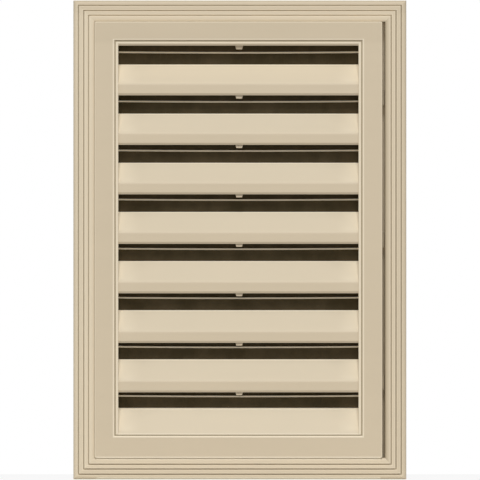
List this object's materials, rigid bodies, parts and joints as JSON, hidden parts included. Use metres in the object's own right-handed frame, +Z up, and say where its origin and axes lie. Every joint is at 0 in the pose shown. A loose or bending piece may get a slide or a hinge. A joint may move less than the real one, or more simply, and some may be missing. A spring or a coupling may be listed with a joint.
{
  "type": "gable vent",
  "caption": "Rectangular moulded gable vent with sloping louvres, a guard bar in each slot, a clip-on stepped trim ring, a nailing flange and an insect screen",
  "frame": {"origin": "middle of the nailing flange, on the wall plane at the back", "axes": "+X to the viewer's right, +Y into the wall, +Z up"},
  "size_m": [0.35, 0.038, 0.5034],
  "materials": {
    "beige_plastic": "satin",
    "charcoal_mesh": "matte"
  },
  "bodies": {
    "root": {"louvre_base": "beige_plastic", "trim_ring": "beige_plastic", "insect_screen": "charcoal_mesh"}
  },
  "joints": []
}
